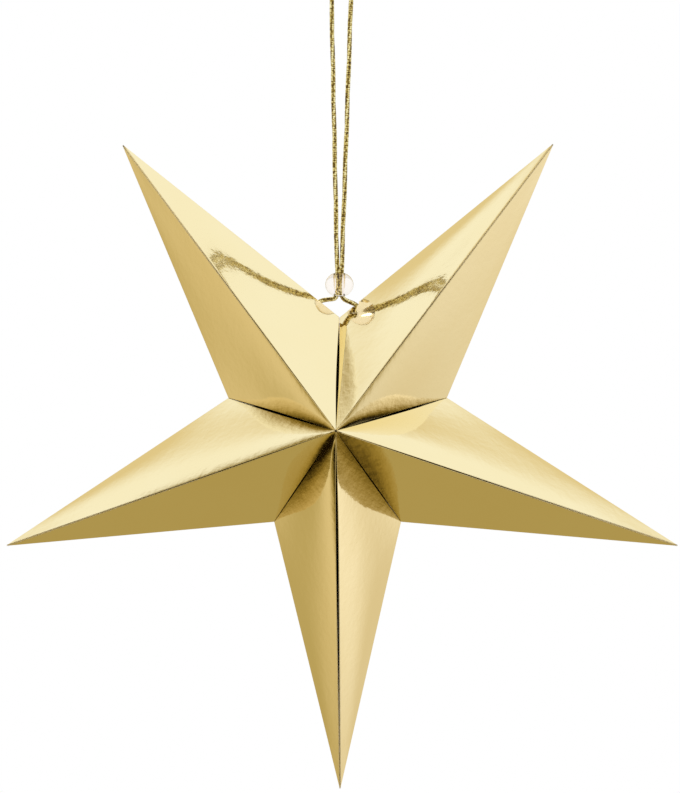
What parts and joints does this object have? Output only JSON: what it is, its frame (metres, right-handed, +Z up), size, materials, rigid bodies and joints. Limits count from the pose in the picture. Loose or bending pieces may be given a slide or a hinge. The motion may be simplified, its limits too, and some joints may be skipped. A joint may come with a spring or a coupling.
{
  "type": "hanging folding star",
  "caption": "Pointed star of thin mirror-gold card panels that opens like a fan and hangs by a cord with a sliding bead.",
  "frame": {"origin": "inside the top of the hanging loop, where a hook carries it", "axes": "+Z up, +X to the right seen from the front, the star faces -Y"},
  "size_m": [0.3, 0.116, 0.3877],
  "materials": {
    "mirror_card": "mirror gold foil",
    "lurex_cord": "metallic gold yarn",
    "clear_bead": "clear"
  },
  "bodies": {
    "root": {"top_right_arm_inner_panel": "mirror_card", "top_right_arm_outer_panel": "mirror_card", "right_arm_upper_panel": "mirror_card", "right_arm_lower_panel": "mirror_card", "bottom_arm_right_panel": "mirror_card", "bottom_arm_left_panel": "mirror_card", "left_arm_lower_panel": "mirror_card", "left_arm_upper_panel": "mirror_card", "top_left_arm_outer_panel": "mirror_card", "top_left_arm_inner_panel": "mirror_card", "hanging_cord": "lurex_cord", "sliding_bead": "clear_bead", "left_knot": "lurex_cord", "right_knot": "lurex_cord"}
  },
  "joints": []
}
